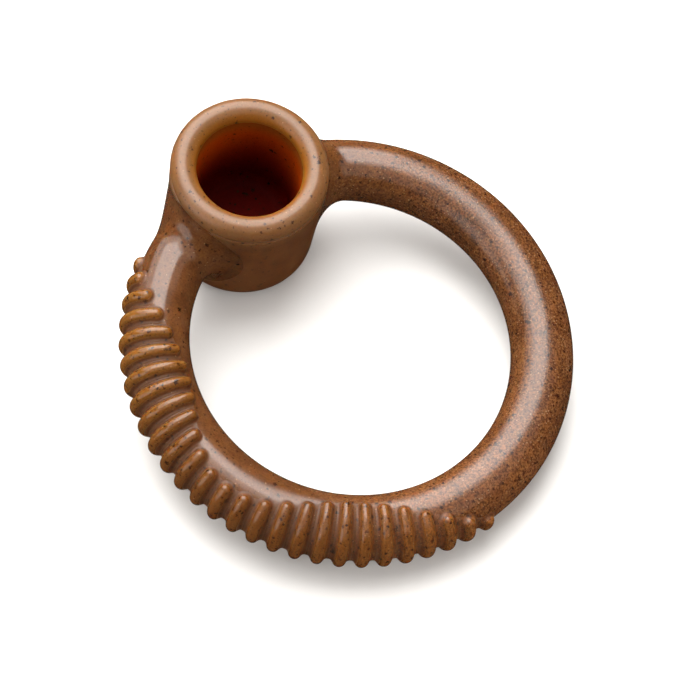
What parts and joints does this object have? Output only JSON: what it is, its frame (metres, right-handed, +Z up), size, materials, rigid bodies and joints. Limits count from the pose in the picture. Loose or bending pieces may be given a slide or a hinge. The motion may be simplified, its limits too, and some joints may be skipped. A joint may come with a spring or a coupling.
{
  "type": "nylon chew ring",
  "caption": "Dog chew ring of speckled nylon: a round bar bent into a ring, with raised chew ribs along one side and a small round treat cup moulded into it.",
  "frame": {"origin": "middle of the bottom of the box around the ring as it lies on a table", "axes": "+Z up; +X from the treat cup to the far side of the ring; the ribbed side faces -Y"},
  "size_m": [0.1274, 0.1156, 0.0413],
  "materials": {
    "speckled_nylon": "satin moulded nylon, tan to brown, with dark brown specks"
  },
  "bodies": {
    "root": {"treat_cup": "speckled_nylon", "ring_bar": "speckled_nylon", "chew_rib_01": "speckled_nylon", "chew_rib_02": "speckled_nylon", "chew_rib_03": "speckled_nylon", "chew_rib_04": "speckled_nylon", "chew_rib_05": "speckled_nylon", "chew_rib_06": "speckled_nylon", "chew_rib_07": "speckled_nylon", "chew_rib_08": "speckled_nylon", "chew_rib_09": "speckled_nylon", "chew_rib_10": "speckled_nylon", "chew_rib_11": "speckled_nylon", "chew_rib_12": "speckled_nylon", "chew_rib_13": "speckled_nylon", "chew_rib_14": "speckled_nylon", "chew_rib_15": "speckled_nylon", "chew_rib_16": "speckled_nylon", "chew_rib_17": "speckled_nylon", "chew_rib_18": "speckled_nylon", "chew_rib_19": "speckled_nylon", "chew_rib_20": "speckled_nylon", "chew_rib_21": "speckled_nylon", "chew_rib_22": "speckled_nylon", "chew_rib_23": "speckled_nylon", "chew_rib_24": "speckled_nylon", "chew_rib_25": "speckled_nylon", "chew_rib_26": "speckled_nylon", "chew_rib_27": "speckled_nylon"}
  },
  "joints": []
}
